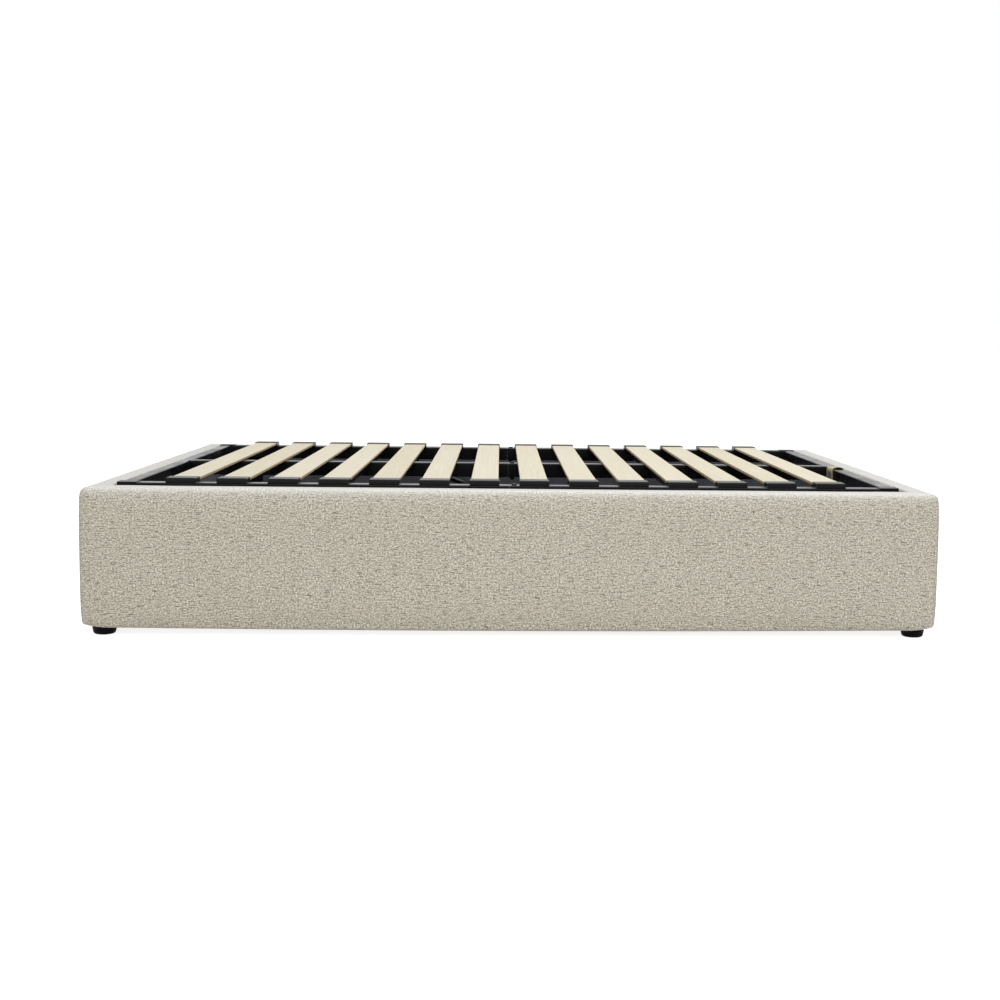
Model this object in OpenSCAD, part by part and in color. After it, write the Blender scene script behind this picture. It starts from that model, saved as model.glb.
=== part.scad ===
// Lift-up storage bed base: an upholstered box on low feet, closed by a slatted steel frame
// that is hinged near the head end and raised at the foot end by two gas struts.
// X runs from the head end (-) to the foot end (+), Y across the bed and Z up from the floor.
// The origin is on the floor, under the middle of the box. Lengths are in millimetres.

/* [Upholstered box] */
// Outer length of the box, from head to foot
bed_l = 2060; // [1960:10:2160]
// Outer width of the box
bed_w = 1560; // [1360:10:1760]
// Height of the rim's top above the floor
rim_h = 355; // [345:5:400]
// Thickness of the side and end boards
board_t = 38; // [34:1:42]
// Padding on the outside of each board
pad_t = 24; // [20:1:28]
// Padding over the top edge of each board
pad_top = 10; // [8:1:14]
// Thickness of the cover where it is folded in and stapled
hem_t = 4; // [3:0.5:5]
// Depth to which the cover is folded down inside the rim
hem_in = 26; // [20:1:28]
// Width of the cover that is folded under each board
hem_under = 16; // [10:1:16]
// How far the bottom edge of the padding hangs down at the middle
hem_sag = 4; // [0:1:6]
// Rounding of the box's upright corners
corner_r = 22; // [14:1:26]
// Rounding of the rim's outer top edge
rim_r = 13; // [9:1:16]
// Rounding of the box's bottom edge
bottom_r = 9; // [6:1:12]
// How far the padding swells at half height
pad_swell = 3; // [1:0.5:5]

/* [Feet] */
// Height of the corner feet
foot_h = 21; // [18:1:30]
// Diameter of a foot at its top
foot_d = 57; // [50:1:64]
// Distance from the box's ends to the centre of a corner foot
foot_in_x = 50; // [48:1:70]
// Distance from the box's sides to the centre of a corner foot
foot_in_y = 46; // [45:1:48]
// Distance from the box's ends to the feet under the floor beam
mid_foot_in = 580; // [400:20:700]
// Diameter of a foot's moulded-in stud
stud_d = 8; // [6:1:8]
// Length of the stud above the foot
stud_l = 30; // [20:1:40]

/* [Storage floor] */
// Height and width of the ledgers that carry the floor
ledger = 30; // [24:2:36]
// Width of the beam under the middle of the floor
beam_w = 60; // [50:5:80]
// Thickness of the floor panels
floor_t = 9; // [6:1:12]
// Gap between neighbouring floor panels
floor_gap = 1; // [0.5:0.5:2]
// Length of the legs of the corner brackets
bracket_leg = 40; // [32:2:48]
// Height of the corner brackets
bracket_h = 180; // [140:10:200]
// Height of the corner brackets' lower ends above the storage floor
bracket_up = 24; // [10:2:40]
// Thickness of the grey lining on the inner walls
lining_t = 1; // [0.8:0.1:1.5]

/* [Lift frame] */
// Gap between the rim and the lift frame, at the sides
frame_gap = 32; // [26:1:36]
// Gap between the rim and the lift frame, at the ends
end_gap = 14; // [12:1:20]
// Shift of the lift frame towards the foot end
frame_shift = -5; // [-5:0.5:5]
// Outer side of the square steel tube
tube = 40; // [38:1:42]
// Width of the end rails' tube, which is as high as the square one
end_tube_w = 30; // [29:1:36]
// Wall of the steel tubes
tube_wall = 1.5; // [1.5:0.25:2.5]
// Outer corner radius of the tube
tube_r = 3; // [2.5:0.5:4]
// How far the rails' tops stand above the rim
rail_proud = 3; // [2:1:10]
// Length of the plastic covers over the frame's corners
corner_cover_l = 46; // [36:1:50]
// Thickness of the corner covers
corner_cover_t = 2; // [1.5:0.25:3]
// Height of the small cross rails
cross_h = 20; // [16:2:24]
// Drop of the cross rails below the tops of the side rails
cross_drop = 4; // [3:1:6]
// Length of the sleeves that join the two half frames
sleeve_l = 104; // [84:4:108]
// Wall of the joining sleeves
sleeve_wall = 2; // [1.5:0.25:3]
// Diameter of the joining bolts
splice_bolt_d = 8; // [6:1:8]
// Distance from a foot half's end to its joining bolt
splice_bolt_x = 11.5; // [9:0.5:14]
// Distance between the two brackets on which the closed frame rests
rest_gap = 780; // [600:20:1000]

/* [Slats] */
// Distance from one slat to the next
slat_pitch = 122; // [118:1:126]
// Least distance from the end rails to the first and last slat's end caps
slat_in = 60; // [50:2:64]
// Shift of the row of slats towards the foot end
slat_shift = -13.5; // [-15:0.5:15]
// Width of a slat
slat_w = 68; // [60:1:70]
// Thickness of a slat
slat_t = 8; // [6:1:10]
// Length of the plastic end caps
cap_l = 50; // [44:1:56]
// Wall of the end caps above, below and beside the slat
cap_wall = 2; // [1.5:0.25:2.5]
// Diameter of the peg under each end cap
peg_d = 10; // [8:1:12]
// Length of the peg below the cap
peg_l = 12; // [8:1:14]

/* [Hinge] */
// Distance from the lift frame's head end to the hinge line
hinge_in = 80; // [76:1:96]
// Width of a hinge plate
hinge_plate_w = 90; // [76:2:92]
// Height of a hinge plate
hinge_plate_h = 120; // [100:5:140]
// Diameter of the hinge pins
pin_d = 12; // [10:1:14]
// Radial play of a pin, rod or piston in its bore
play = 0.05; // [0.03:0.01:0.08]
// Thickness of the steel plates and angles
plate_t = 4; // [3:0.5:5]
// Opening angle of the lift frame
lift_deg = 30; // [20:1:32]

/* [Gas struts] */
// Distance from the hinge line to the lower strut pivot
strut_low_in = 1080; // [1050:5:1110]
// Height of the lower strut pivot above the storage floor
strut_low_up = 41; // [39:1:60]
// Distance from the hinge line to the upper strut pivot
strut_top_in = 550; // [520:5:580]
// Drop of the upper strut pivot below the rails
strut_top_z = 16; // [15:0.5:20]
// Width of the strut plate's foot
strut_plate_w = 60; // [50:2:72]
// Height of the strut plate's foot
strut_plate_h = 76; // [60:2:76]
// Width of the strut plate's upright
strut_post_w = 24; // [20:1:30]
// Drop of the upright's top below the rim
strut_post_drop = 85; // [60:5:110]
// Outer diameter of the strut cylinder
cyl_d = 20; // [18:1:21]
// Wall of the strut cylinder
cyl_wall = 1.5; // [1.25:0.25:2]
// Diameter of the strut rod
rod_d = 8; // [7:1:10]
// Width of the strut's end eyes
eye_w = 12; // [10:1:14]

/* [Pull strap] */
// Width of the webbing
strap_w = 74; // [38:1:76]
// Thickness of the webbing
strap_t = 2; // [1.5:0.25:3]
// Distance from the middle of the bed to the strap's middle
strap_y = 60; // [60:1:130]
// Depth of the hand loop below the rail
strap_drop = 105; // [80:5:140]

/* [Fasteners] */
// Diameter of the bolts in the boards
bolt_d = 8; // [6:1:8]
// Length of the bolts in the boards
bolt_l = 34; // [28:1:36]
// Clearance of a bolt or peg in its hole
hole_play = 0.4; // [0.2:0.1:0.5]

/* [Hidden] */
$fn = 48;
SIDES = ["front", "back"];
HALVES = ["head", "foot"];

// Clearances between pieces that don't belong to one rigid body, and of soft pieces
seat_gap = 0.3;
slat_play = 0.3;
eye_play = 0.5;
seam = 0.5;

function two_digits(k) = k < 10 ? str("0", k) : str(k);
function slat_name(k) = str("slat_", two_digits(k));

// Box: half sizes of the outer faces, the boards and the rim
x_out = bed_l / 2;
y_out = bed_w / 2;
rim_t = pad_t + board_t + hem_t;
x_board = x_out - pad_t;
y_board = y_out - pad_t;
x_in = x_board - board_t;
y_in = y_board - board_t;
board_low = foot_h + hem_t;
board_high = rim_h - pad_top;
// Faces that the plates and angles are bolted to
x_wall = x_in - lining_t;
y_wall = y_in - lining_t;
floor_low = board_low + ledger;
floor_top = floor_low + floor_t;
hem_low = rim_h - hem_in;

// Lift frame
x_frame = x_out - rim_t - end_gap;
y_frame = y_out - rim_t - frame_gap;
rail_top = rim_h + rail_proud;
rail_low = rail_top - tube;
slat_low = rail_top + cap_wall;
cap_h = slat_t + 2 * cap_wall + slat_play;
cap_w = slat_w + 2 * (cap_wall + slat_play);
y_rail = y_frame - tube / 2;
x_end_rail = x_frame - end_tube_w / 2;
x_rail_in = x_frame - end_tube_w;
y_rail_in = y_frame - tube;
slat_count = 1 + floor((2 * (x_rail_in - slat_in) - cap_w) / slat_pitch);
half_count = floor(slat_count / 2);
function slat_x(k) = slat_shift + (k - (slat_count + 1) / 2) * slat_pitch;
seam_x = (slat_x(half_count) + slat_x(half_count + 1)) / 2;

// Every node of the part

// Hinge line and strut pivots, as [x, z]
hinge_at = [hinge_in - x_frame + frame_shift, rail_low + tube / 2];
low_at = [hinge_at[0] + strut_low_in, floor_top + strut_low_up];
top_at = [hinge_at[0] + strut_top_in, rail_low - strut_top_z];

function turned(p, a) = hinge_at + [
    (p - hinge_at)[0] * cos(a) - (p - hinge_at)[1] * sin(a),
    (p - hinge_at)[0] * sin(a) + (p - hinge_at)[1] * cos(a)
];
open_at = turned(top_at, lift_deg);
strut_l = norm(top_at - low_at);
strut_open_l = norm(open_at - low_at);
strut_stroke = strut_open_l - strut_l;
strut_deg = atan2(top_at[1] - low_at[1], top_at[0] - low_at[0]);
strut_open_deg = atan2(open_at[1] - low_at[1], open_at[0] - low_at[0]);

// The rod's eye runs in a slot of its bracket: its place there, part way through the lift
function rod_end(t) = low_at + (strut_l + strut_stroke * t) * [
    cos(strut_deg + (strut_open_deg - strut_deg) * t),
    sin(strut_deg + (strut_open_deg - strut_deg) * t)
];
function unturned(p, a) = turned(p, -a);
function slip(t) = unturned(rod_end(t), lift_deg * t) - top_at;
slip_steps = [for (t = [0:0.05:1]) slip(t)];
slip_min = [min([for (p = slip_steps) p[0]]), min([for (p = slip_steps) p[1]])];
slip_max = [max([for (p = slip_steps) p[0]]), max([for (p = slip_steps) p[1]])];
echo(hinge_at = hinge_at, low_at = low_at, top_at = top_at);
echo(lift_deg = lift_deg, strut_turn = strut_open_deg - strut_deg, stroke = strut_stroke);
echo(strut_l = strut_l, slip_min = slip_min, slip_max = slip_max);

// Strut pieces, measured along the strut from its lower pivot
eye_r = cyl_d / 2 + 1;
top_eye_r = strut_top_z - 6;
cap_len = 10;
gland_len = 8;
piston_len = 12;
cyl_start = eye_r + 18;
cyl_end = strut_l - 46;
piston_at = cyl_end - gland_len - piston_len - 4 - strut_stroke;
cheek_in = cyl_d / 2 + 2;
cheek_out = cheek_in + plate_t;

// Fasteners
head_r = bolt_d * 0.9;
head_h = 4;
bracket_low = floor_top + bracket_up;
bracket_bolt_z = [bracket_low + 40, bracket_low + bracket_h - 40];
bracket_bolt_in = bracket_leg - 16;
hinge_plate_top = hem_low - 4;
hinge_plate_low = hinge_plate_top - hinge_plate_h;
rest_w = 60;
rest_y = rest_gap / 2;
rest_h = 70;
rest_reach = x_wall - x_rail_in - frame_shift;
pad_rubber = 3;
strut_post_top = rim_h - strut_post_drop;

// Bolts through each side board, as [x, z], and through each end board, as [y, z]
corner_side_bolts = [for (s = [-1, 1], z = bracket_bolt_z) [s * (x_wall - bracket_bolt_in), z]];
hinge_bolts = [
    for (s = [-1, 1], z = [hinge_plate_low + 18, hinge_plate_top - 24])
        [hinge_at[0] + s * (hinge_plate_w / 2 - 18), z]
];
strut_bolts = [
    [low_at[0] - 20, low_at[1] - strut_plate_h / 2 + 14],
    [low_at[0] + 20, low_at[1] - strut_plate_h / 2 + 14],
    [low_at[0], strut_post_top - 24]
];
side_bolts = concat(corner_side_bolts, hinge_bolts, strut_bolts);
corner_end_bolts = [for (s = [-1, 1], z = bracket_bolt_z) [s * (y_wall - bracket_bolt_in), z]];
rest_plate_top = rail_low - pad_rubber - seat_gap;
rest_bolts = [
    for (s = [-1, 1], b = [-1, 1]) [s * rest_y + b * 16, rest_plate_top - rest_h + 24]
];

// Small helpers
module rounded_rect(w, h, r) {
    square([w - 2 * r, h], center = true);
    square([w, h - 2 * r], center = true);
    for (x = [-1, 1], y = [-1, 1]) translate([x * (w / 2 - r), y * (h / 2 - r)]) circle(r);
}

// A bar of the given section from one x to another
module along_x(x0, x1) {
    translate([x0, 0, 0]) rotate([90, 0, 90]) linear_extrude(x1 - x0) children();
}

// A bar of the given section from one y to another
module along_y(y0, y1) {
    translate([0, y1, 0]) rotate([90, 0, 0]) linear_extrude(y1 - y0) children();
}

module tube_section(w, h) {
    difference() {
        rounded_rect(w, h, tube_r);
        square([w - 2 * tube_wall, h - 2 * tube_wall], center = true);
    }
}

module cyl_y(r, y0, y1) {
    translate([0, y1, 0]) rotate([90, 0, 0]) cylinder(r = r, h = y1 - y0);
}

module cyl_x(r, x0, x1) {
    translate([x0, 0, 0]) rotate([0, 90, 0]) cylinder(r = r, h = x1 - x0);
}

// The back of the bed is drawn, and the front is its mirror image
module on_side(name) {
    if (name == "back") children();
    else mirror([0, 1, 0]) children();
}

// The foot end is drawn, and the head end is its mirror image
module at_end(name) {
    if (name == "foot") children();
    else mirror([1, 0, 0]) children();
}

// Clearance holes for bolts, from inside the box outwards
module side_drill(list, r) {
    for (p = list) translate([p[0], 0, p[1]]) cyl_y(r, y_wall - plate_t - 1, y_wall + bolt_l);
}

module end_drill(list, r) {
    for (p = list) translate([0, p[0], p[1]]) cyl_x(r, x_wall - plate_t - 1, x_wall + bolt_l);
}

hole_r = bolt_d / 2 + hole_play;

// Boards
module side_board(name) {
    color("burlywood") on_side(name) difference() {
        translate([-x_board, y_in, board_low])
            cube([2 * x_board, board_t, board_high - board_low]);
        side_drill(side_bolts, hole_r);
        for (s = [-1, 1]) translate([s * (x_out - foot_in_x), y_out - foot_in_y, 0])
            cylinder(d = stud_d + 2 * hole_play, h = foot_h + stud_l + 1);
    }
}

module end_board(name) {
    bolts = name == "foot" ? concat(corner_end_bolts, rest_bolts) : corner_end_bolts;
    color("burlywood") at_end(name) difference() {
        translate([x_in, -y_in, board_low]) cube([board_t, 2 * y_in, board_high - board_low]);
        end_drill(bolts, hole_r);
    }
}

// Padded covers. A section runs from the hem under the board, up the outer face, over the
// rim and down to the hem inside. Each point is [distance in from the outer face, height].
gap_in = seat_gap;
function arc(cx, cz, r, a0, a1, n) =
    [for (i = [0:n]) let (a = a0 + (a1 - a0) * i / n) [cx + r * cos(a), cz + r * sin(a)]];
face_steps = 4;
face_low = foot_h + bottom_r;
face_high = rim_h - rim_r;
function swell(t) = pad_swell * (1 - pow(2 * t - 1, 4));
outer_path = concat(
    [[pad_t + hem_under, foot_h], [pad_t, foot_h]],
    arc(bottom_r + pad_swell, face_low, bottom_r, -90, -180, 3),
    [for (i = [1:face_steps - 1]) let (t = i / face_steps)
        [pad_swell - swell(t), face_low + (face_high - face_low) * t]],
    arc(rim_r + pad_swell, face_high, rim_r, 180, 90, 4),
    [[pad_t + board_t / 2, rim_h]],
    arc(rim_t - hem_t - 1, rim_h - hem_t - 1, hem_t + 1, 90, 0, 2),
    [[rim_t, hem_low]]
);
inner_face = pad_t - gap_in;
function face_point(i, n) = [inner_face, board_low - gap_in
    + (board_high - board_low + 2 * gap_in) * i / n];
inner_path = concat(
    [[pad_t + hem_under, board_low - gap_in], [pad_t + 6, board_low - gap_in]],
    [for (i = [0:3]) face_point(i, 10)],
    [for (i = [1:face_steps - 1]) face_point(3 + i, 10)],
    [for (i = [0:3]) face_point(7 + i, 10)],
    [[pad_t + 8, board_high + gap_in]],
    [[pad_t + board_t / 2, board_high + gap_in]],
    [[rim_t - hem_t - 6, board_high + gap_in],
     [pad_t + board_t + gap_in, board_high + gap_in],
     [pad_t + board_t + gap_in, board_high - 6]],
    [[pad_t + board_t + gap_in, hem_low]]
);

// A cover runs between the two mitres at its ends, and its outer face follows the corner.
// Rings count from the middle: u in 0..1 is the straight part, then three steps of the corner.
ring_marks = [-1, -0.66, -0.33, 0, 0.33, 0.66, 1];
bend_steps = 3;
seam_half = 0.2;
function straight_end(half) = half - rim_t - 20;
function bent(p, half, k) =
    let (a = 45 * k / bend_steps, in = corner_r - p[0])
    p[0] < min(corner_r, inner_face)
        ? [half - corner_r + in * sin(a), corner_r - in * cos(a)]
        : [half - p[0] - 3 * (bend_steps - k), p[0]];
function sagged(p, t) = p[1] < face_low
    ? p[1] - hem_sag * (1 - t * t) * (face_low - p[1]) / bottom_r : p[1];
function ring_point(p, half, j, n) =
    j < n ? [straight_end(half) * ring_marks[j], p[0], p[1]]
    : let (b = bent(p, half, j - n)) [b[0] - seam_half, b[1], p[1]];

// Points of one cover, as rings from end to end: first all outer points, then all inner ones
module cover_body(half_l, half_w) {
    n_ring = len(ring_marks);
    right = [for (j = [0:n_ring + bend_steps]) j];
    left = [for (j = [bend_steps:-1:0]) j];
    m = len(outer_path);
    function sag_at(j) = j < n_ring ? ring_marks[j] : 1;
    function section(j) = concat([for (p = outer_path) [p[0], sagged(p, sag_at(j))]], inner_path);
    ends = [for (k = left) [for (p = section(n_ring))
        let (q = ring_point(p, half_l, n_ring + k, n_ring)) [-q[0], q[1], q[2]]]];
    body = [for (j = right) [for (p = section(j)) ring_point(p, half_l, j, n_ring)]];
    rings = concat(ends, body);
    pts = [for (r = rings, q = r) [q[0], half_w - q[1], q[2]]];
    w = 2 * m;
    count = len(rings);
    function at(j, i) = j * w + i;
    outer = [for (j = [0:count - 2], i = [0:m - 2]) each [
        [at(j, i), at(j + 1, i + 1), at(j, i + 1)],
        [at(j, i), at(j + 1, i), at(j + 1, i + 1)]]];
    inner = [for (j = [0:count - 2], i = [m:2 * m - 2]) each [
        [at(j, i), at(j, i + 1), at(j + 1, i + 1)],
        [at(j, i), at(j + 1, i + 1), at(j + 1, i)]]];
    rims = [for (j = [0:count - 2]) each [
        [at(j, 0), at(j + 1, m), at(j + 1, 0)],
        [at(j, 0), at(j, m), at(j + 1, m)],
        [at(j, m - 1), at(j + 1, m - 1), at(j + 1, w - 1)],
        [at(j, m - 1), at(j + 1, w - 1), at(j, w - 1)]]];
    caps = [for (i = [0:m - 2]) each [
        [at(0, i), at(0, m + i + 1), at(0, m + i)],
        [at(0, i), at(0, i + 1), at(0, m + i + 1)],
        [at(count - 1, i), at(count - 1, m + i), at(count - 1, m + i + 1)],
        [at(count - 1, i), at(count - 1, m + i + 1), at(count - 1, i + 1)]]];
    polyhedron(pts, concat(outer, inner, rims, caps));
}

module side_cover(name) {
    color("tan") on_side(name) cover_body(x_out, y_out);
}

module end_cover(name) {
    color("tan") at_end(name) rotate([0, 0, -90]) cover_body(y_out, x_out);
}

// Grey lining glued to the inner faces of the boards, between the floor and the hem
module wall_lining() {
    low = floor_top + seat_gap;
    high = hem_low - seat_gap;
    color("dimgray") {
        for (s = SIDES) on_side(s) difference() {
            translate([-x_wall, y_wall, low]) cube([2 * x_wall, lining_t, high - low]);
            side_drill(side_bolts, hole_r);
        }
        for (e = HALVES) at_end(e) difference() {
            translate([x_wall, -y_wall, low]) cube([lining_t, 2 * y_wall, high - low]);
            end_drill(e == "foot" ? concat(corner_end_bolts, rest_bolts) : corner_end_bolts,
                hole_r);
        }
    }
}

// Steel angles that hold the boards together in the corners
module corner_brackets() {
    color("silver") for (s = SIDES, e = HALVES) on_side(s) at_end(e) difference() {
        union() {
            translate([x_wall - bracket_leg, y_wall - plate_t, bracket_low])
                cube([bracket_leg, plate_t, bracket_h]);
            translate([x_wall - plate_t, y_wall - bracket_leg, bracket_low])
                cube([plate_t, bracket_leg, bracket_h]);
        }
        side_drill(corner_side_bolts, hole_r);
        end_drill(corner_end_bolts, hole_r);
    }
}

// A domed screw with a drive recess, pointing along +X from the face it is tightened on
module dome_bolt(d, l) {
    difference() {
        rotate([0, 90, 0]) rotate_extrude() {
            square([d / 2, l]);
            intersection() {
                translate([0, d * 0.42]) circle(r = d * 0.42 + head_h);
                translate([0, -head_h]) square([head_r, head_h]);
            }
        }
        cyl_x(d / 4, -head_h - 1, -head_h + 2);
    }
}

module panel_bolts() {
    shank = bolt_l + plate_t - 4;
    color("dimgray") {
        for (s = SIDES, p = side_bolts) on_side(s)
            translate([p[0], y_wall - plate_t, p[1]]) rotate([0, 0, 90]) dome_bolt(bolt_d, shank);
        for (e = HALVES, p = e == "foot" ? concat(corner_end_bolts, rest_bolts)
            : corner_end_bolts) at_end(e)
            translate([x_wall - plate_t, p[0], p[1]]) dome_bolt(bolt_d, shank);
    }
}

// Moulded feet
module foot_body(top_z, top_r) {
    rotate_extrude() polygon([[0, 0], [top_r * 0.76, 0], [top_r * 0.86, 1.5],
        [top_r * 0.93, 5], [top_r, top_z - 5], [top_r, top_z - 1.5], [top_r - 1.5, top_z],
        [0, top_z]]);
}

module corner_feet() {
    color("black") for (s = SIDES, e = HALVES) on_side(s) at_end(e)
        translate([x_out - foot_in_x, y_out - foot_in_y, 0]) {
            foot_body(foot_h - seat_gap, foot_d / 2);
            translate([0, 0, foot_h - 1]) cylinder(d = stud_d, h = stud_l);
        }
}

module centre_feet() {
    color("black") for (s = [-1, 1]) translate([s * (x_out - mid_foot_in), 0, 0]) {
        foot_body(board_low, foot_d / 2 - 2);
        translate([0, 0, board_low - 1]) cylinder(d = stud_d, h = ledger / 2);
    }
}

// Storage floor
module floor_beam() {
    color("burlywood") difference() {
        translate([-x_in, -beam_w / 2, board_low]) cube([2 * x_in, beam_w, ledger]);
        for (s = [-1, 1]) translate([s * (x_out - mid_foot_in), 0, 0])
            cylinder(d = stud_d + 2 * hole_play, h = board_low + ledger / 2);
    }
}

module floor_ledger(name) {
    color("burlywood") on_side(name)
        translate([-x_in, y_in - ledger, board_low]) cube([2 * x_in, ledger, ledger]);
}

module floor_panel(k) {
    l = (2 * x_in - 4 * floor_gap) / 3;
    color("gray") translate([-x_in + floor_gap + k * (l + floor_gap), -y_in + floor_gap, floor_low])
        cube([l, 2 * (y_in - floor_gap), floor_t]);
}

// Angles with a rubber pad, on which the foot end of the closed lift frame rests
module rest_brackets() {
    color("black") for (s = [-1, 1]) difference() {
        union() {
            translate([x_wall - plate_t, s * rest_y - rest_w / 2, rest_plate_top - rest_h])
                cube([plate_t, rest_w, rest_h]);
            translate([x_wall - rest_reach, s * rest_y - rest_w / 2, rest_plate_top - plate_t])
                cube([rest_reach, rest_w, plate_t]);
            translate([x_end_rail + frame_shift, s * rest_y, rest_plate_top - plate_t])
                cylinder(r = 14, h = plate_t + pad_rubber);
        }
        end_drill(rest_bolts, hole_r);
    }
}

// Hinge plates: the back is bolted to the side board, a shelf clears the hem and an upright
// ear carries the pin
ear_r = pin_d / 2 + 8;
ear_in = y_frame + 8;
module hinge_plate(name) {
    color("black") on_side(name) difference() {
        union() {
            translate([hinge_at[0] - hinge_plate_w / 2, y_wall - plate_t, hinge_plate_low])
                cube([hinge_plate_w, plate_t, hinge_plate_top - hinge_plate_low]);
            translate([hinge_at[0] - hinge_plate_w / 2, ear_in, hinge_plate_top - plate_t])
                cube([hinge_plate_w, y_wall - ear_in, plate_t]);
            translate([0, ear_in + plate_t, 0]) rotate([90, 0, 0]) linear_extrude(plate_t)
                polygon([
                    [hinge_at[0] - hinge_plate_w / 2, hinge_plate_top - plate_t],
                    [hinge_at[0] + hinge_plate_w / 2, hinge_plate_top - plate_t],
                    [hinge_at[0] + ear_r, hinge_at[1]],
                    [hinge_at[0] - ear_r, hinge_at[1]]
                ]);
            translate([hinge_at[0], 0, hinge_at[1]]) cyl_y(ear_r, ear_in, ear_in + plate_t);
        }
        translate([hinge_at[0], 0, hinge_at[1]]) cyl_y(pin_d / 2 + play, 0, y_wall);
        side_drill(hinge_bolts, hole_r);
    }
}

nut_h = 7;
flange_l = 7.4;
module hinge_pins() {
    color("silver") for (s = SIDES) on_side(s) translate([hinge_at[0], 0, hinge_at[1]]) {
        cyl_y(pin_d / 2, y_rail_in - nut_h - 3, ear_in + plate_t + 1);
        cyl_y(pin_d * 0.8, ear_in + plate_t, ear_in + plate_t + 5);
        translate([0, y_rail_in - seat_gap, 0]) rotate([90, 0, 0])
            cylinder(r = pin_d * 0.9, h = nut_h, $fn = 6);
    }
}

// Strut plates on the side boards, each with an upright post and the lower pivot stud
module strut_plate(name) {
    stud_in = y_rail - eye_w / 2;
    color("black") on_side(name) difference() {
        union() {
            translate([low_at[0] - strut_plate_w / 2, y_wall - plate_t,
                low_at[1] - strut_plate_h / 2]) cube([strut_plate_w, plate_t, strut_plate_h]);
            translate([low_at[0] - strut_post_w / 2, y_wall - plate_t, low_at[1]])
                cube([strut_post_w, plate_t, strut_post_top - low_at[1]]);
            translate([low_at[0], 0, low_at[1]]) {
                cyl_y(8, y_rail + eye_w / 2 + eye_play, y_wall - plate_t + 1);
                cyl_y(5, stud_in - eye_play - 5, y_wall - plate_t);
                cyl_y(8, stud_in - eye_play - 4, stud_in - eye_play);
            }
        }
        side_drill(strut_bolts, hole_r);
    }
}

// Lift frame. The side rails are in two halves, joined over an inner sleeve.
module splice_holes(z_high) {
    translate([seam_x + splice_bolt_x, 0, z_high - tube - 1])
        cylinder(d = splice_bolt_d + 2 * hole_play, h = tube + 2);
}

module half_of(half, x_end) {
    if (half == "head") along_x(frame_shift - x_end, seam_x - seam / 2) children();
    else along_x(seam_x + seam / 2, frame_shift + x_end) children();
}

module side_rail(name, half) {
    color([0.13, 0.13, 0.14]) on_side(name) difference() {
        union() {
            translate([0, y_rail, rail_low + tube / 2]) half_of(half, x_frame)
                tube_section(tube, tube);
            if (half == "head") translate([hinge_at[0], 0, hinge_at[1]]) {
                cyl_y(pin_d / 2 + 4, y_rail_in, y_frame);
                cyl_y(pin_d / 2 + 7, y_frame - 1, y_frame + flange_l);
            }
        }
        if (half == "head") translate([hinge_at[0], 0, hinge_at[1]])
            cyl_y(pin_d / 2 + play, y_rail_in - 1, y_frame + flange_l + 1);
        translate([0, y_rail, 0]) splice_holes(rail_top);
        for (k = half == "head" ? [1:half_count] : [half_count + 1:slat_count])
            translate([slat_x(k), y_rail, rail_top - 2 * tube_wall])
                cylinder(d = peg_d + 2 * hole_play, h = 2 * tube_wall + 1);
    }
}

module end_rail(name) {
    color([0.13, 0.13, 0.14]) translate([frame_shift, 0, 0]) at_end(name)
        translate([x_end_rail, 0, rail_low + tube / 2])
            along_y(-y_rail_in, y_rail_in) tube_section(end_tube_w, tube);
}

// The centre rail lies a cap's floor higher, so that the slats rest on it
module centre_rail(half) {
    color([0.13, 0.13, 0.14]) difference() {
        translate([0, 0, slat_low - tube / 2]) half_of(half, x_rail_in)
            tube_section(tube, tube);
        splice_holes(slat_low);
    }
}

module cross_rails() {
    y0 = tube / 2;
    color([0.13, 0.13, 0.14]) for (k = [4, slat_count - 3], s = SIDES) on_side(s)
        translate([slat_x(k), 0, rail_top - cross_drop - cross_h / 2])
            along_y(y0, y_rail_in) tube_section(tube, cross_h);
}

sleeve = tube - 2 * tube_wall - 2 * hole_play;
module joining_sleeve(z_high) {
    difference() {
        translate([0, 0, z_high - tube / 2])
            along_x(seam_x - sleeve_l / 2, seam_x + sleeve_l / 2) difference() {
                square([sleeve, sleeve], center = true);
                square([sleeve - 2 * sleeve_wall, sleeve - 2 * sleeve_wall], center = true);
            }
        splice_holes(z_high);
    }
}

module splice_sleeves() {
    color("silver") {
        for (s = [-1, 1]) translate([0, s * y_rail, 0]) joining_sleeve(rail_top);
        joining_sleeve(slat_low);
    }
}

module splice_bolts() {
    color("silver") for (y = [-y_rail, 0, y_rail]) {
        z = y == 0 ? slat_low : rail_top;
        translate([seam_x + splice_bolt_x, y, z]) {
            translate([0, 0, -tube - 9]) cylinder(d = splice_bolt_d, h = tube + 9.5);
            cylinder(r = splice_bolt_d * 0.8, h = 3);
            translate([0, 0, -tube - 6.5]) cylinder(r = splice_bolt_d * 0.86, h = 6.5, $fn = 6);
        }
    }
}

// Plastic plugs in the open ends of the side rails. Each goes on as a thin cover over the top
// and the outside of the corner.
module rail_end_plugs() {
    inner = tube - 2 * tube_wall - 2 * slat_play;
    flange = 3;
    drop = 10;
    x0 = x_frame + flange - corner_cover_l;
    color("black") translate([frame_shift, 0, 0]) for (s = SIDES, e = HALVES) on_side(s) at_end(e) {
        translate([0, y_rail, rail_low + tube / 2]) {
            along_x(x_frame, x_frame + flange) rounded_rect(tube, tube, tube_r);
            along_x(x_frame - 14, x_frame) rounded_rect(inner, inner, 1.5);
        }
        translate([x_frame, y_rail_in, rail_top - drop])
            cube([flange, tube + corner_cover_t, drop + corner_cover_t]);
        translate([x0, y_rail_in, rail_top])
            cube([corner_cover_l, tube + corner_cover_t, corner_cover_t]);
        translate([x0, y_frame, rail_top - drop])
            cube([corner_cover_l, corner_cover_t, drop + corner_cover_t]);
    }
}

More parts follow.
